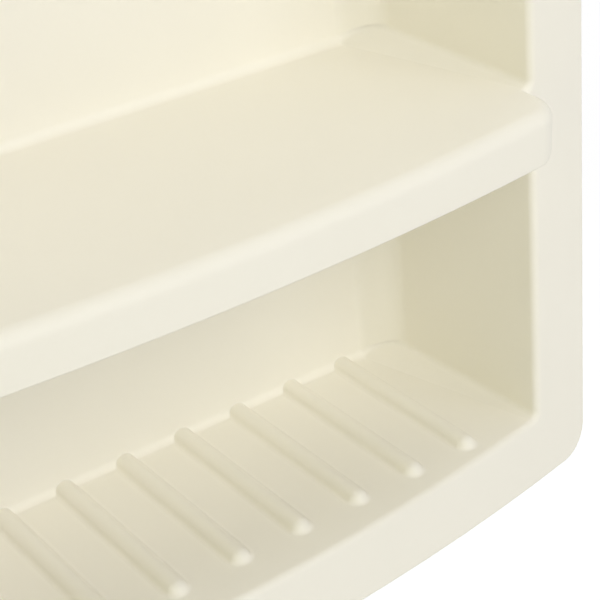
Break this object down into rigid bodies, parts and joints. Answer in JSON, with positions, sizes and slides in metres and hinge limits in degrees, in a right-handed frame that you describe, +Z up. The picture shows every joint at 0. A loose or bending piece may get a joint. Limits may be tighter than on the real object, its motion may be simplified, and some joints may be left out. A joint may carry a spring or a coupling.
{
  "type": "recessed soap dish",
  "caption": "Recessed bath wall niche moulded in one piece, with a bowed frame, a proud rounded shelf and a ribbed, draining soap floor.",
  "frame": {"origin": "middle of the frame's seat on the wall", "axes": "+X across the dish to the right as seen from the room, +Y into the wall, +Z up"},
  "size_m": [0.381, 0.1217, 0.5716],
  "materials": {
    "cast_body": "satin cream cast resin, coloured right through"
  },
  "bodies": {
    "root": {"soap_dish": "cast_body"}
  },
  "joints": []
}
